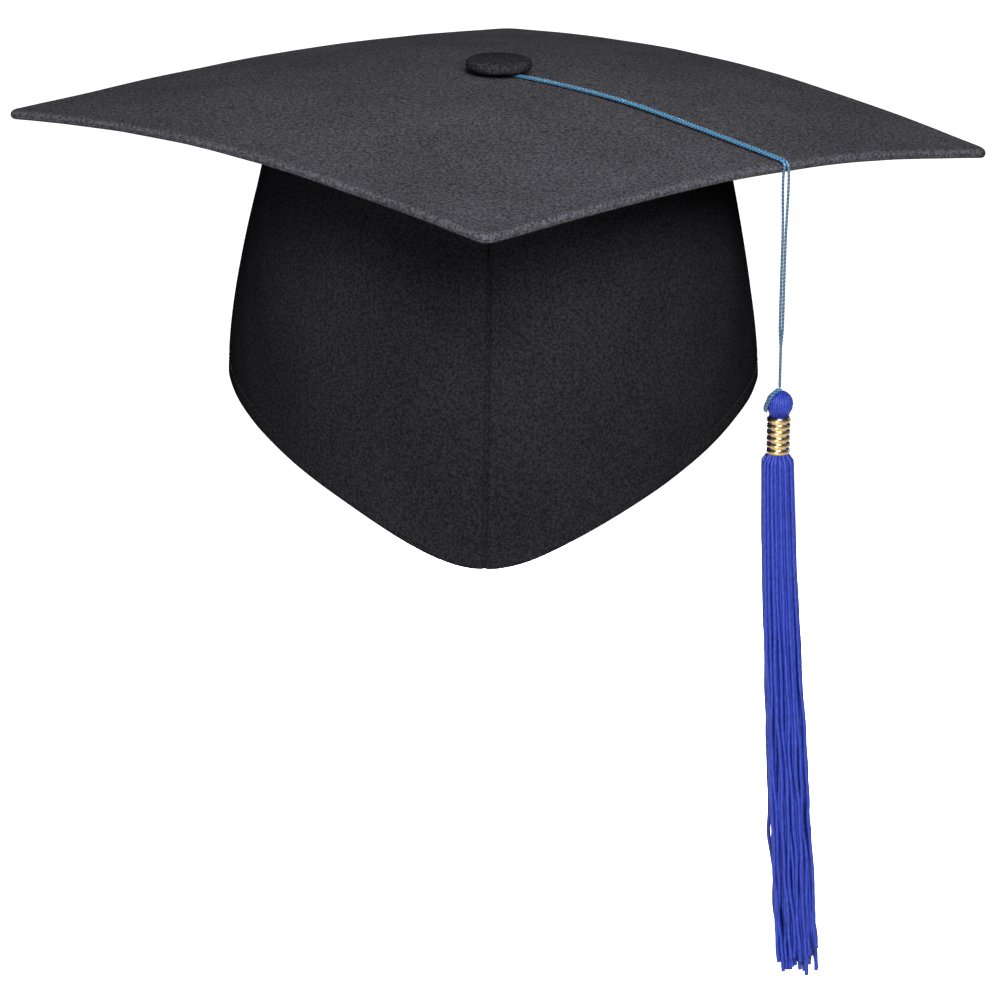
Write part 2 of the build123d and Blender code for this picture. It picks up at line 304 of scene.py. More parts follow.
def ease(values, start, end):
    """A smooth step from 0 to 1 between two values."""
    t = np.clip((values - start) / (end - start), 0, 1)
    return t * t * (3 - 2 * t)


def strand_centre(side):
    """One strand of the doubled cord: beside its twin over the board, well apart below the rim, then
    close again, and turned behind it above the tassel."""
    hang = np.clip((cord_marks - rim_mark) / (cord_length - rim_mark), 0, 1)
    reach = 0.5 * strand_spacing + 0.2 * ease(hang, 0, 0.05)
    reach = reach + (0.5 * strand_diameter - reach) * ease(hang, 0.08, 0.36)
    level, turned = ease(hang, 0, 0.08), ease(hang, 0.7, 0.84) * pi / 2
    x_part = sideways.x * (1 - level) + level * np.cos(turned)
    y_part = sideways.y * (1 - level) + level * np.sin(turned)
    across = np.stack([x_part, y_part, np.zeros_like(hang)], axis=1)
    return cord_line + side * (reach * mm)[:, None] * across


tassel_cord = rope_piece("tassel_cord", [strand_centre(1), strand_centre(-1)],
                         strand_diameter / 2 * mm, 2.6 * mm, cord_blue, around=14)


def paint_shade_below(piece, below):
    """Painted shade: below this height the cord's groove values are raised, so it is coloured darker there.
    """
    grooves = piece.data.attributes["groove"].data
    for vertex, groove in zip(piece.data.vertices, grooves):
        if vertex.co.z < below:
            groove.value = min(1.0, 0.28 + 1.3 * groove.value)


# Painted shade on the hanging cord, below the rim.
paint_shade_below(tassel_cord, 91.5 * mm)
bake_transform(tassel_cord)
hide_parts("cord_run_left", "cord_run_right", "cord_drop_left", "cord_drop_right")

loop_turn = np.linspace(0, 2 * pi, 60)
loop_centre = np.stack([2.4 * mm * np.cos(loop_turn), 2.4 * mm * np.sin(loop_turn),
                        np.full(60, 105.85 * mm)], axis=1)
post_loop = rope_piece("post_loop", [loop_centre], strand_diameter / 2 * mm, 2.6 * mm, cord_blue, around=8)
place_in_frame(post_loop, "cord_lead", "cord_blue", "tassel_loop")

# Board: a stiff square drawn over with matte black polyester. The top cloth wraps the rim and is
# seamed to the under cloth low on it, so the rim is soft and round, with a fine ridge at the seam.
board_half = 120.65
board_corner = 4.0
board_thickness = 2.8
cap_height = 105.0
bend_radius, bend_reach = 555.0, 85.0
board_diagonal = 170.6


def warp(x, y):
    """The board's own twist, in mm: no card board stays true, and this one sits higher at the left."""
    u, v = x / board_diagonal, y / board_diagonal
    return (3.8 * u * v - 2.4 * u ** 3 - 0.9 * u - 7.0 * u * u * v + 8.0 * max(-v - 0.42, 0) ** 2
            + 1.2 * max(v, 0) ** 2)


def board_top(x, y):
    """Height of the board's top cloth, in mm: a bend round the middle, then straight slopes."""
    r = math.hypot(x, y)
    bend = min(r, bend_reach)
    rest = sqrt(bend_radius ** 2 - bend ** 2)
    soft = noise.noise(Vector((x / 34, y / 34, 3.1))) * 0.25 + noise.noise(Vector((x / 13, y / 13,
        7.7))) * 0.08
    drop = bend_radius - rest + (r - bend) * bend / rest
    settled = min(1.0, (r / 60) ** 2)
    return cap_height - drop + settled * (warp(x, y) + soft)


def outline_points(count):
    """The board's outline as points, corners on the axes: straight sides and rounded corners."""
    flat = board_half - board_corner
    quarter = pi / 2 * board_corner
    length = 4 * (2 * flat + quarter)
    points = []
    for i in range(count):
        s = length * i / count
        side, s = divmod(s, 2 * flat + quarter)
        if s < quarter:
            a = s / board_corner
            x, y = flat + board_corner * cos(a), flat + board_corner * sin(a)
        else:
            x, y = flat - (s - quarter), board_half
        turn = side * pi / 2 - pi / 4
        points.append((x * cos(turn) - y * sin(turn), x * sin(turn) + y * cos(turn)))
    return points


def rim_profile(upper):
    """Steps from the face to the rim's seam: how far in from the outline, and how deep."""
    seam = 0.62 * board_thickness
    depth = seam if upper else board_thickness - seam
    swell = 0.22
    steps = [(9.0, 0.0), (6.0, -0.3 * swell), (4.0, -0.8 * swell), (2.6, -swell)]
    for i in range(1, 9):
        a = i / 8 * pi / 2
        steps.append((1.5 - 1.5 * sin(a), (1 - cos(a)) * 1.3 - swell * (1 - sin(a) ** 3)))
    steps += [(0.0, max(1.35, depth - 0.12)), (0.35, depth), (0.9, depth + 0.02)]
    return [(inset, d) for inset, d in steps if d <= depth + 0.05]


def board_cloth(name, upper, material):
    """One cover of the board: rings from the middle to the outline, then round the rim."""
    around, middle_rings, rim_reach = 560, 54, 9.5
    edge = outline_points(around)
    points = [(0, 0, board_top(0, 0) * mm if upper else (board_top(0, 0) - board_thickness) * mm)]
    for i in range(1, middle_rings):
        for x, y in edge:
            reach = math.hypot(x, y)
            k = i / middle_rings * (reach - rim_reach) / reach
            z = board_top(x * k, y * k) - (0 if upper else board_thickness)
            points.append((x * k * mm, y * k * mm, z * mm))
    for inset, depth in rim_profile(upper):
        for x, y in edge:
            reach = math.hypot(x, y)
            k = (reach - inset) / reach
            z = board_top(x * k, y * k)
            z += -depth if upper else depth - board_thickness
            points.append((x * k * mm, y * k * mm, z * mm))
    count = middle_rings - 1 + len(rim_profile(upper))
    faces = [(0, 1 + j, 1 + (j + 1) % around) for j in range(around)]
    faces += [tuple(reversed(f)) for f in grid_faces(count, around, closed=True, start=1)]
    if not upper:
        faces = [tuple(reversed(f)) for f in faces]
    return mesh_piece(name, points, faces, material)


def add_thickness(piece, thickness):
    """Cloth has a thickness: it goes inwards from the seen face."""
    solid = piece.modifiers.new("cloth", "SOLIDIFY")
    solid.thickness = thickness
    solid.offset = -1
    bpy.context.view_layer.update()
    graph = bpy.context.evaluated_depsgraph_get()
    thick = bpy.data.meshes.new_from_object(piece.evaluated_get(graph))
    piece.modifiers.clear()
    old = piece.data
    piece.data = thick
    bpy.data.meshes.remove(old)
    thick.shade_smooth()


def polyester_material(name, dark, light, sheen=0.25, coarse=0.75, strength=0.5):
    """Matte spun polyester, plain weave. The 0.3 mm threads are too fine to show, so the speckle of their lit
    and shaded sides is painted into the colour at about twice that, as painted highlights and shade."""
    material, tree, bsdf = new_material(name, Roughness=0.85, Sheen_Weight=sheen, Sheen_Roughness=0.45,
                                        Specular_IOR_Level=0.0)
    place = add_node(tree, "ShaderNodeTexCoord")
    speckle = add_node(tree, "ShaderNodeTexNoise", {"Vector": place.outputs["Object"],
        "Scale": 1 / (coarse * mm), "Detail": 2.0, "Roughness": 0.55})
    cloud = add_node(tree, "ShaderNodeTexNoise", {"Vector": place.outputs["Object"], "Scale": 1 / (45 * mm),
        "Detail": 2.0})
    # Painted highlight and shade of the threads: the speckle mixes the dark and light colours.
    even = add_node(tree, "ShaderNodeMapRange", {"Value": speckle, "From Min": 0.38, "From Max": 0.64})
    colour = add_node(tree, "ShaderNodeMix", {"Factor": even, "A": srgb(dark), "B": srgb(light)},
        data_type="RGBA")
    shade = add_node(tree, "ShaderNodeMapRange", {"Value": cloud, "From Min": 0.3, "From Max": 0.7,
        "To Min": 0.88, "To Max": 1.12})
    toned = add_node(tree, "ShaderNodeVectorMath", {0: colour, "Scale": shade}, operation="SCALE")
    tree.links.new(toned.outputs["Vector"], bsdf.inputs["Base Color"])
    bump = add_node(tree, "ShaderNodeBump", {"Height": speckle, "Strength": strength,
        "Distance": 0.25 * mm})
    tree.links.new(bump.outputs["Normal"], bsdf.inputs["Normal"])
    return material


def board_core_piece():
    """The card inside the cloth, bent and warped with it, with the post's hole."""
    around, rings, inset, hole = 360, 40, 2.2, 1.6
    edge = outline_points(around)
    low, high = board_thickness - 0.75, 0.75
    points = []
    steps = [(i / rings, high) for i in range(rings + 1)] + [(1 - i / rings, low) for i in range(rings + 1)]
    for share, depth in steps:
        for x, y in edge:
            reach = math.hypot(x, y)
            k = (hole + (reach - inset - hole) * share) / reach
            points.append((x * k * mm, y * k * mm, (board_top(x * k, y * k) - depth) * mm))
    faces = [tuple(reversed(f)) for f in grid_faces(len(steps), around, closed=True)]
    last = (len(steps) - 1) * around
    faces += [(j, last + j, last + (j + 1) % around, (j + 1) % around) for j in range(around)]
    card = polyester_material("grey_pressed_board", "#6f6a62", "#96908a", sheen=0.0, coarse=1.5)
    place_in_frame(mesh_piece("board_card", points, faces, card), "cap", "board_card", "board_core")


# The board, crown and button are one cloth in three copies. The board's copy is toned lighter: a painted
# sheen.
board_polyester_painted_sheen = polyester_material("matte_black_polyester_board_painted_sheen", "#2e2d31", "#4e4d52", sheen=0.0,
    coarse=0.95)
# The button's copy is toned darker than the board's.
button_polyester = polyester_material("matte_black_polyester_button", "#151517", "#333337", sheen=0.0,
    coarse=0.6)
board_core_piece()
top_cloth = board_cloth("board_top_cloth", True, board_polyester_painted_sheen)
under_cloth = board_cloth("board_under_cloth", False, board_polyester_painted_sheen)
for cloth_piece, node, cut_side in ((top_cloth, "board_top_cover", 2 * board_half + 3.5),
                                    (under_cloth, "board_bottom_cover", 2 * board_half + 2.1)):
    add_thickness(cloth_piece, 0.5 * mm)
    place_in_frame(cloth_piece, "cap", "cap_cloth", node)

# Crown: three stiffened panels of the same cloth, seamed at the front and behind each ear. The seam
# allowances press the cloth up beside each seam, and the hem is turned in and stitched. The elastic
# gathers the back panel.
half_width, half_depth = 92.3, 97.0
crown_taper, taper_power = 19.8, 1.5
front_peak, back_dip = 45.0, 12.0
side_seam = radians(112)
hem_turn_up, hem_fold_radius = 12.0, 0.8
stitch_dent_height = 5.6


def hem_height(y):
    """The crown's lower edge in mm: a point at the front, a shallow dip at the back."""
    share = abs(y) / half_depth
    if y > 0:
        return -back_dip * share ** 2
    return -front_peak * (0.75 * share ** 1.9 + 0.25 * share ** 14)


def crown_point(angle, height, inset):
    """A point on the crown's wall in mm; angle runs from the front towards +X."""
    lean = crown_taper * (max(height, 0) / cap_height) ** taper_power
    return Vector(((half_width - lean - inset) * sin(angle), -(half_depth - lean - inset) * cos(angle),
        height))


def seam_press(angle, seams):
    """Inset at a seam: a narrow groove with the cloth pressed up on each side of it."""
    total = 0.0
    for seam in seams:
        s = abs(angle - seam) * half_depth
        total += 1.0 * math.exp(-(s / 0.9) ** 2) - 0.28 * math.exp(-((s - 4.5) / 3.2) ** 2)
    return total


def wall_unevenness(angle, height, back):
    """Soft hang of the wall in mm: slight hollows, and gathers above the elastic at the back."""
    soft = 0.35 + noise.noise(Vector((sin(angle) * 2.2, cos(angle) * 2.2 + height / 42, 1.3))) * 0.9
    soft += noise.noise(Vector((sin(angle) * 6.5, cos(angle) * 6.5 + height / 25, 5.3))) * 0.3
    if back:
        share = max(0.0, 1 - (height + back_dip) / 55)
        middle = max(0.0, 1 - (abs(angle - pi) / (pi - side_seam)) ** 4)
        soft += 1.0 * share ** 1.4 * middle * (1 + sin(angle * 46 + 1.8 * sin(angle * 9)))
    return soft


def panel_angles(start, end, count):
    """Angles across a panel, closer together near its two seams."""
    angles = []
    for i in range(count + 1):
        t = i / count
        eased = t - 0.93 * sin(2 * pi * t) / (2 * pi)
        angles.append(start + (end - start) * eased)
    return angles


def wall_top(x, y):
    """Where the wall meets the board's underside, in mm."""
    return board_top(x, y) - board_thickness + 0.3


def panel_rows(angle, back):
    """One column of a panel, from the board down, round the hem's fold and up inside it."""
    seams = (0.0, side_seam, -side_seam, 2 * pi - side_seam)
    groove = seam_press(angle, seams)
    foot = hem_height(crown_point(angle, 0, 0).y)
    base = crown_point(angle, cap_height - 8, 0)
    top = wall_top(base.x, base.y)
    rows = []
    steps = 64
    for i in range(steps + 1):
        t = i / steps
        height = top + (foot + hem_fold_radius - top) * t
        fade = min(1.0, 12 * (1 - t) + 0.25)
        stitch = 0.22 * math.exp(-((height - foot - stitch_dent_height) / 1.3) ** 2)
        inset = groove * (0.55 + 0.45 * fade) + stitch - wall_unevenness(angle, height, back) * min(1, 8 * t)
        rows.append(crown_point(angle, height, inset))
    for i in range(1, 7):
        a = i / 6 * pi
        rows.append(crown_point(angle, foot + hem_fold_radius - hem_fold_radius * sin(a),
                                inset + hem_fold_radius * (1 - cos(a))))
    for height in (hem_turn_up / 2, hem_turn_up):
        rows.append(crown_point(angle, foot + height, inset + 1.65))
    return rows


def crown_panel(name, start, end, count, node, back=False):
    """One outer panel, its side edges turned in at the seams."""
    angles = panel_angles(start, end, count)
    columns = [panel_rows(a, back) for a in angles]
    inward = 1 - 3.0 / half_depth
    first, last = ([Vector((p.x * inward, p.y * inward, p.z)) for p in columns[i]] for i in (0, -1))
    columns = [first] + columns + [last]
    points = [p * mm for column in columns for p in column]
    piece = mesh_piece(name, points, grid_faces(len(columns), len(first)), crown_polyester_painted_shade)
    add_thickness(piece, 0.45 * mm)
    place_in_frame(piece, "cap", "cap_cloth", node)


# Painted shade: the crown's copy of the cloth is toned much darker than the board's.
crown_polyester_painted_shade = polyester_material("matte_black_polyester_crown_painted_shade", "#121214", "#212124", sheen=0.0,
    coarse=0.8)
crown_panel("crown_left_cloth", -side_seam, 0, 150, "crown_front_left")
crown_panel("crown_right_cloth", 0, side_seam, 150, "crown_front_right")
crown_panel("crown_back_cloth", side_seam, 2 * pi - side_seam, 260, "crown_back", back=True)

# Lining and stiffening: a bonded stiffener inside both front panels, and a smooth thin lining cut in
# three like the crown and hung a little loose in it, with the round panel that closes it under the
# board. They show only from below.
stiffening_inset, lining_inset = 1.95, 2.6


def inner_layer(name, start, end, count, inset, slack, thickness, material, slot, node):
    """One layer inside the crown, its face towards the head; slack lets it stand off the wall."""
    points = []
    steps = 40
    for i in range(count + 1):
        angle = start + (end - start) * i / count
        foot = hem_height(crown_point(angle, 0, 0).y) + 2.2
        base = crown_point(angle, cap_height - 8, 0)
        top = wall_top(base.x, base.y) - 1.2
        gathered = side_seam < angle < 2 * pi - side_seam
        for k in range(steps + 1):
            height = top + (foot - top) * k / steps
            loose = 0.4 + 0.9 * noise.noise(Vector((angle * 7, height / 60, 9.1)))
            if gathered:
                share = max(0.0, 1 - (height + back_dip) / 50)
                loose += share * (1 - sin(angle * 46 + 1.8 * sin(angle * 9)))
            points.append(crown_point(angle, height, inset + slack * max(0.0, loose)) * mm)
    faces = [tuple(reversed(f)) for f in grid_faces(count + 1, steps + 1)]
    piece = mesh_piece(name, points, faces, material)
    add_thickness(piece, thickness * mm)
    place_in_frame(piece, "cap", slot, node)


lining_cloth = polyester_material("plain_weave_lining", "#0c0c0e", "#1d1d20", sheen=0.1, coarse=0.5,
    strength=0.2)
for side, start, end, count in (("front_left", -side_seam, 0, 90), ("front_right", 0, side_seam, 90),
                                ("back", side_seam, 2 * pi - side_seam, 200)):
    inner_layer("lining_cloth_" + side, start, end, count, lining_inset, 1.0, 0.2, lining_cloth,
                "lining_cloth", "lining_" + side)
stiffening = polyester_material("bonded_interfacing", "#1b1b1e", "#333337", sheen=0.0, coarse=1.0)
for side, start, end in (("front_left", -side_seam, 0), ("front_right", 0, side_seam)):
    inner_layer("stiffener_" + side, start, end, 90, stiffening_inset, 0.0, 0.3, stiffening,
                "interfacing", "interfacing_" + side)


def top_panel():
    """The round closing panel, drawn in small tucks where the lining is sewn to it."""
    around, rings, hole = 240, 30, 1.8
    points = []
    for i in range(rings + 1):
        share = i / rings
        for j in range(around):
            angle = 2 * pi * j / around
            edge = crown_point(angle, cap_height - 9, lining_inset + 0.4)
            k = (hole + (edge.length_squared - (cap_height - 9) ** 2) ** 0.5 * share) / max(
                1e-6, math.hypot(edge.x, edge.y))
            k = min(k, 1.0)
            x, y = edge.x * k, edge.y * k
            tuck = 0.35 * share ** 6 * sin(angle * 60) + 0.4 * noise.noise(Vector((x / 20, y / 20, 2.0)))
            points.append((x * mm, y * mm, (board_top(x, y) - board_thickness - 0.5 - abs(tuck)) * mm))
    faces = grid_faces(rings + 1, around, closed=True)
    piece = mesh_piece("crown_top_cloth", points, faces, lining_cloth)
    add_thickness(piece, 0.2 * mm)
    place_in_frame(piece, "cap", "lining_cloth", "crown_top_panel")


top_panel()

# Headband: a ribbed tape is sewn inside the hem at the front and sides, and a flat knitted elastic at
# the back, which draws the cloth there into gathers.
tape_width, elastic_width = 25.0, 20.0
tape_setback = 2.0


def ribbed_material(name, dark, light, rib):
    """Woven tape: fine ribs up and down it, drawn from their real pitch on the piece's own UV map."""
    material, tree, bsdf = new_material(name, Roughness=0.8, Specular_IOR_Level=0.1)
    place = add_node(tree, "ShaderNodeUVMap", uv_map="along")
    ribs = add_node(tree, "ShaderNodeTexWave", {"Vector": place.outputs["UV"], "Scale": 1 / rib,
        "Distortion": 0.4}, wave_type="BANDS", bands_direction="X")
    colour = add_node(tree, "ShaderNodeMix", {"Factor": ribs.outputs["Fac"], "A": srgb(dark),
        "B": srgb(light)}, data_type="RGBA")
    tree.links.new(colour.outputs["Result"], bsdf.inputs["Base Color"])
    bump = add_node(tree, "ShaderNodeBump", {"Height": ribs.outputs["Fac"], "Strength": 0.6,
        "Distance": 0.3 * mm})
    tree.links.new(bump.outputs["Normal"], bsdf.inputs["Normal"])
    return material


def inner_band(name, start, end, count, width, inset, thickness, waves, material, node, slot):
    """A band inside the hem; its UV map runs along it in mm, for the ribs."""
    rows = 12
    points = []
    for i in range(count + 1):
        angle = start + (end - start) * i / count
        foot = hem_height(crown_point(angle, 0, 0).y) + tape_setback
        for j in range(rows + 1):
            height = foot + width * j / rows
            edge = min(j, rows - j) / rows
            wave = waves * (1 + sin(angle * 76 + sin(angle * 13))) * min(1, 3 * edge + 0.4)
            points.append(crown_point(angle, height, inset + wave) * mm)
    faces = grid_faces(count + 1, rows + 1)
    piece = mesh_piece(name, points, faces, material)
    layer = piece.data.uv_layers.new(name="along")
    for loop in piece.data.loops:
        i, j = divmod(loop.vertex_index, rows + 1)
        layer.data[loop.index].uv = ((end - start) * i / count * half_depth, width * j / rows)
    add_thickness(piece, -thickness * mm)
    place_in_frame(piece, "cap", slot, node)


grosgrain = ribbed_material("grosgrain_tape", "#101012", "#26262a", 1.2)
elastic_knit = ribbed_material("knitted_elastic", "#121214", "#2c2c30", 1.6)
inner_band("headband_ribbed_tape", -side_seam, side_seam, 420, tape_width, 3.7, 0.6, 0.0, grosgrain,
           "headband_tape", "headband_tape")
inner_band("gathered_elastic", side_seam, 2 * pi - side_seam, 520, elastic_width, 4.3, 1.0, 0.35,
           elastic_knit, "rear_elastic", "elastic")

# Hem stitching: one row of lock stitch in black spun thread, 5.5 mm above the hem, 3.4 mm a stitch.
# Each stitch is a short thread that dives into the cloth at both ends.
stitch_pitch, stitch_length, thread_diameter = 3.4, 2.5, 0.42
stitch_row_height = 5.5


def hem_row_curve():
    """The stitch row's line on the cloth, as a closed curve."""
    count = 360
    data = bpy.data.curves.new("hem_row", "CURVE")
    data.dimensions = "3D"
    row = data.splines.new("POLY")
    row.points.add(count - 1)
    for i in range(count):
        angle = 2 * pi * i / count
        height = hem_height(crown_point(angle, 0, 0).y) + stitch_row_height
        back = side_seam < angle < 2 * pi - side_seam
        out = wall_unevenness(angle, height, back)
        row.points[i].co = (*(crown_point(angle, height, 0.1 - out) * mm), 1)
    row.use_cyclic_u = True
    return link(data, "hem_row")


def tree_with_inputs(name, inputs):
    """An empty geometry tree with named inputs, and its input and output nodes."""
    tree = bpy.data.node_groups.new(name, "GeometryNodeTree")
    tree.interface.new_socket("Geometry", in_out="INPUT", socket_type="NodeSocketGeometry")
    for label, kind in inputs.items():
        tree.interface.new_socket(label, in_out="INPUT", socket_type=kind)
    tree.interface.new_socket("Geometry", in_out="OUTPUT", socket_type="NodeSocketGeometry")
    return tree, add_node(tree, "NodeGroupInput"), add_node(tree, "NodeGroupOutput")


def run_tree(piece, tree, values):
    """Put the tree on the piece, set its named inputs, and keep the result as a plain mesh piece."""
    modifier = piece.modifiers.new(tree.name, "NODES")
    modifier.node_group = tree
    for item in tree.interface.items_tree:
        if item.item_type == "SOCKET" and item.in_out == "INPUT" and item.name in values:
            modifier[item.identifier] = values[item.name]
    bpy.context.view_layer.update()
    graph = bpy.context.evaluated_depsgraph_get()
    mesh = bpy.data.meshes.new_from_object(piece.evaluated_get(graph))
    name = piece.name
    bpy.data.objects.remove(piece)
    mesh.shade_smooth()
    return link(mesh, name)


def stitch_tree():
    """A short thread placed at every stitch of a row, turned along it."""
    tree, given, result = tree_with_inputs("stitch_row", {
        "Pitch": "NodeSocketFloat", "Stitch": "NodeSocketFloat", "Thread": "NodeSocketFloat",
        "Material": "NodeSocketMaterial"})
    row = add_node(tree, "GeometryNodeResampleCurve", {"Curve": given.outputs["Geometry"],
        "Length": given.outputs["Pitch"]}, mode="LENGTH")
    half = add_node(tree, "ShaderNodeMath", (given.outputs["Stitch"], 0.5), operation="MULTIPLY")
    start = add_node(tree, "ShaderNodeMath", (half, -1.0), operation="MULTIPLY")
    sink = add_node(tree, "ShaderNodeMath", (given.outputs["Thread"], -0.9), operation="MULTIPLY")
    rise = add_node(tree, "ShaderNodeMath", (given.outputs["Thread"], 0.9), operation="MULTIPLY")
    first = add_node(tree, "ShaderNodeCombineXYZ", {"X": start, "Z": sink})
    middle = add_node(tree, "ShaderNodeCombineXYZ", {"Z": rise})
    last = add_node(tree, "ShaderNodeCombineXYZ", {"X": half, "Z": sink})
    thread = add_node(tree, "GeometryNodeCurveQuadraticBezier", {"Resolution": 6, "Start": first,
        "Middle": middle, "End": last})
    radius = add_node(tree, "ShaderNodeMath", (given.outputs["Thread"], 0.5), operation="MULTIPLY")
    section = add_node(tree, "GeometryNodeCurvePrimitiveCircle", {"Resolution": 6, "Radius": radius})
    body = add_node(tree, "GeometryNodeCurveToMesh", {"Curve": thread, "Profile Curve": section,
        "Fill Caps": True})
    tangent = add_node(tree, "GeometryNodeInputTangent")
    place = add_node(tree, "GeometryNodeInputPosition")
    flat = add_node(tree, "ShaderNodeVectorMath", {0: place, 1: (1.0, 1.0, 0.0)}, operation="MULTIPLY")
    along = add_node(tree, "FunctionNodeAlignRotationToVector", {"Vector": tangent}, axis="X")
    turned = add_node(tree, "FunctionNodeAlignRotationToVector", {"Rotation": along, "Vector": flat},
        axis="Z", pivot_axis="X")
    placed = add_node(tree, "GeometryNodeInstanceOnPoints", {"Points": row, "Instance": body,
        "Rotation": turned})
    real = add_node(tree, "GeometryNodeRealizeInstances", {"Geometry": placed})
    done = add_node(tree, "GeometryNodeSetMaterial", {"Geometry": real,
        "Material": given.outputs["Material"]})
    tree.links.new(done.outputs[0], result.inputs[0])
    return tree


def thread_material(name, dark, light):
    """Spun polyester thread: matte, with its twist as a fine change of tone."""
    material, tree, bsdf = new_material(name, Roughness=0.75, Specular_IOR_Level=0.1)
    place = add_node(tree, "ShaderNodeTexCoord")
    fibre = add_node(tree, "ShaderNodeTexNoise", {"Vector": place.outputs["Object"],
        "Scale": 1 / (0.3 * mm), "Detail": 1.0})
    colour = add_node(tree, "ShaderNodeMix", {"Factor": fibre, "A": srgb(dark), "B": srgb(light)},
        data_type="RGBA")
    tree.links.new(colour.outputs["Result"], bsdf.inputs["Base Color"])
    return material


black_thread = thread_material("black_spun_thread", "#0b0b0c", "#1d1d20")
stitches = run_tree(hem_row_curve(), stitch_tree(), {
    "Pitch": stitch_pitch * mm, "Stitch": stitch_length * mm, "Thread": thread_diameter * mm,
    "Material": black_thread})
stitches.name = "hem_stitches"
place_in_frame(stitches, "cap", "black_thread", "hem_stitching")

# Button: the board's cloth drawn over a domed tin shell and tucked under its edge, which leaves fine
# pleats round the underside. It stands on its post just clear of the board.
button_radius, button_low, button_high = 11.5, 106.6, 111.6
button_flat_reach, button_dome_rise = 8.6, 0.75


def button_profile(inset):
    """Steps down the button's side, shrunk by inset: reach, height and how pleated, in mm."""
    high, low = button_high - inset, button_low + inset
    edge = button_radius - inset
    steps = [(button_flat_reach * i / 13, high - button_dome_rise * (i / 13) ** 2, 0.0) for i in range(1, 14)]
    shoulder = high - button_dome_rise
    for i in range(1, 19):
        a = i / 18 * pi
        r = button_flat_reach + (edge - button_flat_reach) * sin(a) ** 0.8
        z = (shoulder + low) / 2 + (shoulder - low) / 2 * cos(a)
        steps.append((r, z, max(0.0, (a - 0.55 * pi) / (0.45 * pi))))
    return steps


def button_layer(name, inset, thickness, folds, material, slot, node):
    """One domed layer of the button: the cloth with its pleated tuck, or the tin shell inside it."""
    around, points = 160, []
    steps = button_profile(inset)
    for r, z, pleat in steps:
        for j in range(around):
            a = 2 * pi * j / around
            tuck = folds * (0.22 * pleat * sin(a * 26 + 2 * sin(3 * a)))
            soft = folds * 0.1 * noise.noise(Vector((r * cos(a) / 4, r * sin(a) / 4, z / 4)))
            reach = r + tuck + soft
            points.append((reach * cos(a) * mm, reach * sin(a) * mm, (z + soft) * mm))
    centre = len(points)
    points.append((0, 0, (button_high - inset) * mm))
    faces = [tuple(reversed(f)) for f in grid_faces(len(steps), around, closed=True)]
    faces += [(centre, j, (j + 1) % around) for j in range(around)]
    piece = mesh_piece(name, points, faces, material)
    add_thickness(piece, thickness * mm)
    place_in_frame(piece, "cap", slot, node)


def tin_material():
    """Tin-plated steel, pressed: grey and satin, with the rolling marks of the sheet."""
    material, tree, bsdf = new_material("pressed_tin_plate", Metallic=1.0)
    place = add_node(tree, "ShaderNodeTexCoord")
    stretch = add_node(tree, "ShaderNodeMapping", {"Vector": place.outputs["Object"], "Scale": (8.0, 1.0,
        1.0)})
    rolled = add_node(tree, "ShaderNodeTexNoise", {"Vector": stretch, "Scale": 1 / (2 * mm), "Detail": 3.0})
    colour = add_node(tree, "ShaderNodeMix", {"Factor": rolled, "A": srgb("#8d8f92"), "B": srgb("#c4c6c8")},
        data_type="RGBA")
    tree.links.new(colour.outputs["Result"], bsdf.inputs["Base Color"])
    satin = add_node(tree, "ShaderNodeMapRange", {"Value": rolled, "To Min": 0.28, "To Max": 0.5})
    tree.links.new(satin.outputs["Result"], bsdf.inputs["Roughness"])
    return material


tin_plate = tin_material()
button_layer("button_cloth", 0.0, 0.35, 1.0, button_polyester, "cap_cloth", "button_cover")
button_layer("button_tin", 0.6, 0.5, 0.0, tin_plate, "button_metal", "button_shell")

# Tassel head and neck: rayon chainette strands folded over the cord's end and tied below it, so they
# lie side by side over a round head and run down through the ferrule.
tassel_spot = cord_point(cord_route[-1][0], 0)
head_radius, head_centre_height = 4.8, 9.3
ferrule_high, ferrule_low = 4.9, -8.1
strand_width = 1.45


def chainette_material(name, dark, light):
    """Rayon chainette: a bright, slightly waxy knitted cord. A stretched noise of darker and lighter blue is
    painted shade for down in its stitches, and also bumps it.
    """
    material, tree, bsdf = new_material(name, Roughness=0.5, Specular_IOR_Level=0.25)
    place = add_node(tree, "ShaderNodeTexCoord")
    squeeze = add_node(tree, "ShaderNodeMapping", {"Vector": place.outputs["Object"], "Scale": (1.0, 1.0,
        0.35)})
    knit = add_node(tree, "ShaderNodeTexNoise", {"Vector": squeeze, "Scale": 1 / (0.55 * mm),
        "Detail": 2.0})
    even = add_node(tree, "ShaderNodeMapRange", {"Value": knit, "From Min": 0.32, "From Max": 0.68})
    colour = add_node(tree, "ShaderNodeMix", {"Factor": even, "A": srgb(dark), "B": srgb(light)},
        data_type="RGBA")
    tree.links.new(colour.outputs["Result"], bsdf.inputs["Base Color"])
    bump = add_node(tree, "ShaderNodeBump", {"Height": knit, "Strength": 0.35, "Distance": 0.2 * mm})
    tree.links.new(bump.outputs["Normal"], bsdf.inputs["Normal"])
    return material


tassel_rayon = chainette_material("royal_blue_chainette", "#0c1a66", "#203391")


def head_strands():
    """Centre lines of the folded strands: each climbs one side of the head and comes down the other."""
    lines = []
    count = 15
    for i in range(count):
        turn = pi * i / count
        flat = Vector((cos(turn), sin(turn), 0))
        line = []
        for k in range(41):
            a = -0.22 * pi + 1.44 * pi * k / 40
            r = head_radius - strand_width / 2 - 0.1 + 0.12 * sin(7 * i + k / 9)
            height = head_centre_height + r * sin(a) * 1.02
            line.append(tassel_spot + (flat * (r * cos(a)) + Vector((0, 0, height))) * mm)
        neck_ends = []
        for end in (line[0], line[-1]):
            inner = tassel_spot + (end - tassel_spot) * 0.86
            neck_ends.append(Vector((inner.x, inner.y, ferrule_high * mm - 1.5 * mm)))
        lines.append(np.array([list(p) for p in (neck_ends[0], *line, neck_ends[1])]))
    return lines


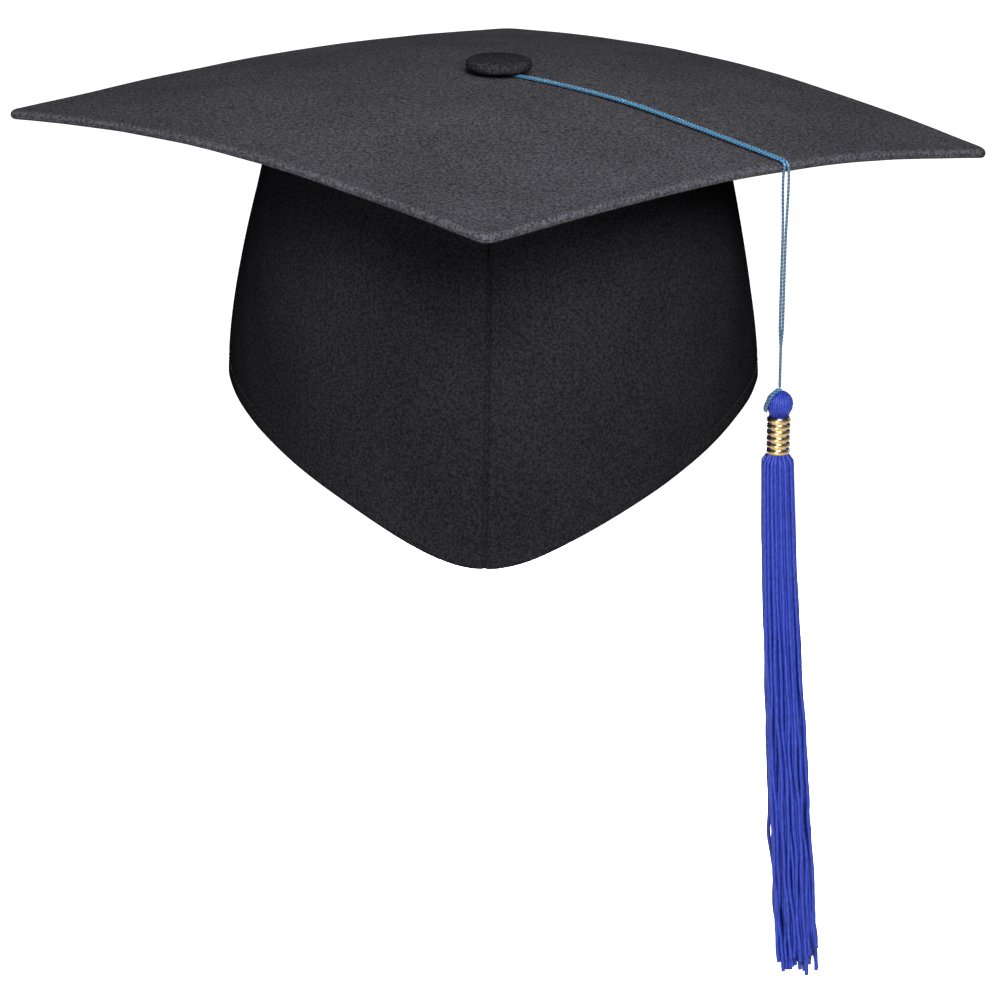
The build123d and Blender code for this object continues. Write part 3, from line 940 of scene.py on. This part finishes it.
tassel_head = rope_piece("tassel_head_strands", head_strands(), strand_width / 2 * mm, 3.0 * mm,
                         tassel_rayon, around=8)
core = bmesh.new()
bmesh.ops.create_uvsphere(core, u_segments=32, v_segments=20, radius=(head_radius - 0.9) * mm)
bmesh.ops.translate(core, verts=core.verts, vec=tassel_spot + Vector((0, 0, head_centre_height * mm)))
neck = bmesh.ops.create_cone(core, segments=40, radius1=3.1 * mm, radius2=3.1 * mm, depth=17 * mm,
                             cap_ends=True)
bmesh.ops.translate(core, verts=neck["verts"], vec=tassel_spot + Vector((0, 0, 0.3 * mm)))
core.from_mesh(tassel_head.data)
core.to_mesh(tassel_head.data)
core.free()
tassel_head.data.shade_smooth()
place_in_frame(tassel_head, "tassel", "tassel_blue", "tassel_head")


def binding_thread():
    """The tie under the ferrule: thread wound round the neck, turn by turn."""
    turns, per_turn = 24, 28
    t = np.linspace(0, 1, turns * per_turn)
    a = t * turns * 2 * pi
    z = (ferrule_low + 0.4 + (ferrule_high - ferrule_low - 0.8) * t) * mm
    centre = np.stack([tassel_spot.x + 3.28 * mm * np.cos(a), tassel_spot.y + 3.28 * mm * np.sin(a), z],
        axis=1)
    piece = rope_piece("neck_binding_thread", [centre], 0.24 * mm, 0.8 * mm,
                       thread_material("blue_binding_thread", "#1a2470", "#33459c"), around=6)
    place_in_frame(piece, "tassel", "tassel_thread", "tassel_binding")
    return piece


neck_binding = binding_thread()

# Head loop: the doubled cord's end. It opens into the loop that the strands are folded over, and one
# side of it lies over the head and goes in under the ferrule.
loop_line = []
out = head_radius + 0.42
for k in range(60):
    a = pi / 2 + radians(4) + radians(118) * k / 59
    loop_line.append(Vector((out * cos(a), -0.25 * out * sin(2 * (a - pi / 2)),
        head_centre_height + out * sin(a))))
loop_turned = Matrix.Rotation(radians(30), 4, "Z")
over_head = [np.array([list(tassel_spot + (loop_turned @ (p + Vector((0, side * 0.5, 0)))) * mm)
                       for p in loop_line]) for side in (-1, 1)]
knot_turn = np.linspace(0, 3.2 * pi, 80)
knot_reach = (0.85 - 0.055 * knot_turn) * mm
knot_line = np.stack([tassel_spot.x + knot_reach * np.cos(knot_turn),
                      tassel_spot.y + knot_reach * np.sin(knot_turn),
                      (13.5 + 0.27 * knot_turn / pi) * mm], axis=1)
head_loop = rope_piece("head_loop_cord", over_head + [knot_line], 0.46 * mm, 2.4 * mm, cord_blue, around=8)
# Painted shade on the head loop and its knot, below 14 mm.
paint_shade_below(head_loop, 14.0 * mm)
place_in_frame(head_loop, "tassel", "cord_blue", "head_loop")

# Ferrule: a gold-coloured band pressed from thin sheet into six rings, with a slot between each two
# rings at both sides where the dark inside shows.
rings = 6
ferrule_turn = radians(1.09)  # it was crimped on a little off square


def ferrule():
    """Six swelling rings joined front and back; the side slots are left open."""
    around, per_ring = 96, 10
    high, low = ferrule_high, ferrule_low
    rows = rings * per_ring + 1
    points = []
    for i in range(rows):
        z = high + (low - high) * i / (rows - 1)
        phase = (i % per_ring) / per_ring
        swell = sin(pi * phase) ** 0.6
        for j in range(around):
            a = 2 * pi * j / around
            side = max(0.0, (abs(cos(a)) - 0.62) / 0.38) ** 0.5
            r = 3.72 + 0.38 * swell - 0.12 * side * (1 - swell)
            points.append(tassel_spot + Vector((r * cos(a + ferrule_turn), r * sin(a + ferrule_turn),
                z)) * mm)
    faces = []
    for face in grid_faces(rows, around, closed=True):
        i, j = divmod(face[0], around)
        near_groove = min(i % per_ring, per_ring - 1 - i % per_ring) < 2 and 2 <= i < rows - 3
        if near_groove and abs(cos(2 * pi * (j + 0.5) / around)) > 0.66:
            continue
        faces.append(tuple(reversed(face)))
    return mesh_piece("ringed_ferrule", points, faces, gold_material())


def gold_material():
    """Thin brass-plated sheet, pressed and tumbled: bright, with faint wear in the plating."""
    material, tree, bsdf = new_material("gold_plated_ferrule", Metallic=1.0, Roughness=0.24)
    place = add_node(tree, "ShaderNodeTexCoord")
    wear = add_node(tree, "ShaderNodeTexNoise", {"Vector": place.outputs["Object"], "Scale": 1 / (1.4 * mm),
        "Detail": 3.0})
    colour = add_node(tree, "ShaderNodeMix", {"Factor": wear, "A": srgb("#7a6340"), "B": srgb("#ab966c")},
        data_type="RGBA")
    tree.links.new(colour.outputs["Result"], bsdf.inputs["Base Color"])
    dull = add_node(tree, "ShaderNodeMapRange", {"Value": wear, "To Min": 0.16, "To Max": 0.36})
    tree.links.new(dull.outputs["Result"], bsdf.inputs["Roughness"])
    return material


ringed_ferrule = ferrule()
add_thickness(ringed_ferrule, 0.22 * mm)
place_in_frame(ringed_ferrule, "tassel", "ferrule_gold", "tassel_ferrule")

# Skirt: the strands' loose ends, about 185 mm long. They leave the ferrule tight, swell to a round bundle,
# and lower down wave and part a little; their cut ends are uneven.
skirt_length = 186.5


def skirt_tree():
    """Strands spread evenly over a round bundle, each a waving line with its own length."""
    tree, given, result = tree_with_inputs("tassel_skirt", {
        "Strands": "NodeSocketInt", "Length": "NodeSocketFloat", "Strand": "NodeSocketFloat",
        "Neck": "NodeSocketFloat", "Shoulder": "NodeSocketFloat", "Foot": "NodeSocketFloat",
        "Wave": "NodeSocketFloat", "Drift": "NodeSocketVector", "Seed": "NodeSocketInt",
        "Material": "NodeSocketMaterial"})
    size = given.outputs
    # Each strand's place in the bundle: its share of the radius, its turn by the golden angle, its luck.
    index = add_node(tree, "GeometryNodeInputIndex")
    inside = add_node(tree, "ShaderNodeMath", (index, 0.5), operation="ADD")
    area = add_node(tree, "ShaderNodeMath", (inside, size["Strands"]), operation="DIVIDE")
    share = add_node(tree, "ShaderNodeMath", (area,), operation="SQRT")
    golden = add_node(tree, "ShaderNodeMath", (index, 2.39996), operation="MULTIPLY")
    luck = add_node(tree, "FunctionNodeRandomValue", {"ID": index, "Seed": size["Seed"]}, data_type="FLOAT")
    points = add_node(tree, "GeometryNodePoints", {"Count": size["Strands"]})
    for name, value in (("share", share), ("golden", golden), ("luck", luck)):
        points = add_node(tree, "GeometryNodeStoreNamedAttribute", {"Geometry": points, "Name": name,
            "Value": value}, data_type="FLOAT", domain="POINT")
    line = add_node(tree, "GeometryNodeCurvePrimitiveLine", {"End": (0.0, 0.0, -1.0)})
    line = add_node(tree, "GeometryNodeResampleCurve", {"Curve": line, "Count": 110})
    strands = add_node(tree, "GeometryNodeInstanceOnPoints", {"Points": points, "Instance": line})
    strands = add_node(tree, "GeometryNodeRealizeInstances", {"Geometry": strands})
    share, golden, luck = [add_node(tree, "GeometryNodeInputNamedAttribute", {"Name": name},
        data_type="FLOAT") for name in ("share", "golden", "luck")]

    # The hanging line: out from the neck to the shoulder, wider to the foot, down to its own length.
    down = add_node(tree, "GeometryNodeSplineParameter").outputs["Factor"]
    swell = add_node(tree, "ShaderNodeMapRange", {"Value": down, "From Max": 0.02, "To Min": size["Neck"],
        "To Max": size["Shoulder"]}, interpolation_type="SMOOTHSTEP")
    loosen = add_node(tree, "ShaderNodeMapRange", {"Value": down, "From Max": 0.75})
    gain = add_node(tree, "ShaderNodeMath", (size["Foot"], size["Shoulder"]), operation="SUBTRACT")
    spread = add_node(tree, "ShaderNodeMath", (gain, loosen, swell), operation="MULTIPLY_ADD")
    reach = add_node(tree, "ShaderNodeMath", (share, spread), operation="MULTIPLY")
    cosine = add_node(tree, "ShaderNodeMath", (golden,), operation="COSINE")
    sine = add_node(tree, "ShaderNodeMath", (golden,), operation="SINE")
    x = add_node(tree, "ShaderNodeMath", (reach, cosine), operation="MULTIPLY")
    y = add_node(tree, "ShaderNodeMath", (reach, sine), operation="MULTIPLY")
    cut = add_node(tree, "ShaderNodeMath", (luck, -0.055, 1.0), operation="MULTIPLY_ADD")
    own_length = add_node(tree, "ShaderNodeMath", (size["Length"], cut), operation="MULTIPLY")
    drop = add_node(tree, "ShaderNodeMath", (down, own_length), operation="MULTIPLY")
    z = add_node(tree, "ShaderNodeMath", (drop, -1.0), operation="MULTIPLY")
    straight = add_node(tree, "ShaderNodeCombineXYZ", (x, y, z))

    # Its waves, and the whole skirt's lean, both growing towards the foot.
    own_luck = add_node(tree, "ShaderNodeMath", (luck, 61.0), operation="MULTIPLY")
    far_down = add_node(tree, "ShaderNodeMath", (down, 7.0), operation="MULTIPLY")
    along = add_node(tree, "ShaderNodeCombineXYZ", (own_luck, golden, far_down))
    ripple = add_node(tree, "ShaderNodeTexNoise", {"Vector": along, "Scale": 1.0, "Detail": 1.5})
    centred = add_node(tree, "ShaderNodeVectorMath", (ripple.outputs["Color"], (0.5, 0.5, 0.5)),
        operation="SUBTRACT")
    flat = add_node(tree, "ShaderNodeVectorMath", (centred, (1.0, 1.0, 0.0)), operation="MULTIPLY")
    wave_growth = add_node(tree, "ShaderNodeMath", (down, 1.3), operation="POWER")
    wave = add_node(tree, "ShaderNodeMath", (size["Wave"], wave_growth), operation="MULTIPLY")
    waved = add_node(tree, "ShaderNodeVectorMath", {0: flat, "Scale": wave}, operation="SCALE")
    lean_growth = add_node(tree, "ShaderNodeMath", (down, 1.25), operation="POWER")
    leaned = add_node(tree, "ShaderNodeVectorMath", {0: size["Drift"], "Scale": lean_growth},
        operation="SCALE")
    total = add_node(tree, "ShaderNodeVectorMath", (straight, waved), operation="ADD")
    total = add_node(tree, "ShaderNodeVectorMath", (total, leaned), operation="ADD")
    moved = add_node(tree, "GeometryNodeSetPosition", {"Geometry": strands, "Position": total})

    radius = add_node(tree, "ShaderNodeMath", (size["Strand"], 0.5), operation="MULTIPLY")
    section = add_node(tree, "GeometryNodeCurvePrimitiveCircle", {"Resolution": 7, "Radius": radius})
    body = add_node(tree, "GeometryNodeCurveToMesh", {"Curve": moved, "Profile Curve": section,
        "Fill Caps": True})
    real = add_node(tree, "GeometryNodeRealizeInstances", {"Geometry": body})
    done = add_node(tree, "GeometryNodeSetMaterial", {"Geometry": real, "Material": size["Material"]})
    tree.links.new(done.outputs[0], result.inputs[0])
    return tree


skirt = run_tree(link(bpy.data.meshes.new("skirt_start"), "tassel_skirt_strands"), skirt_tree(), {
    "Strands": 68, "Length": skirt_length * mm, "Strand": strand_width * mm, "Neck": 3.0 * mm,
    "Shoulder": 5.3 * mm, "Foot": 7.3 * mm, "Wave": 5.5 * mm, "Drift": (12.0 * mm, 0.0, 0.0), "Seed": 5,
    "Material": tassel_rayon})
skirt.data.transform(Matrix.Translation(tassel_spot + Vector((0, 0, ferrule_low * mm + 0.6 * mm))))
place_in_frame(skirt, "tassel", "tassel_blue", "tassel_skirt")

# Button fixing: the plate that closes the shell, the post through the board and the washer under it are
# pressed and turned tin plate. Their CAD shapes are right, so they only get that finish.
for node in ("button_back", "button_post", "post_washer"):
    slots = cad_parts[node].data.materials
    slots.clear()
    slots.append(tin_plate)
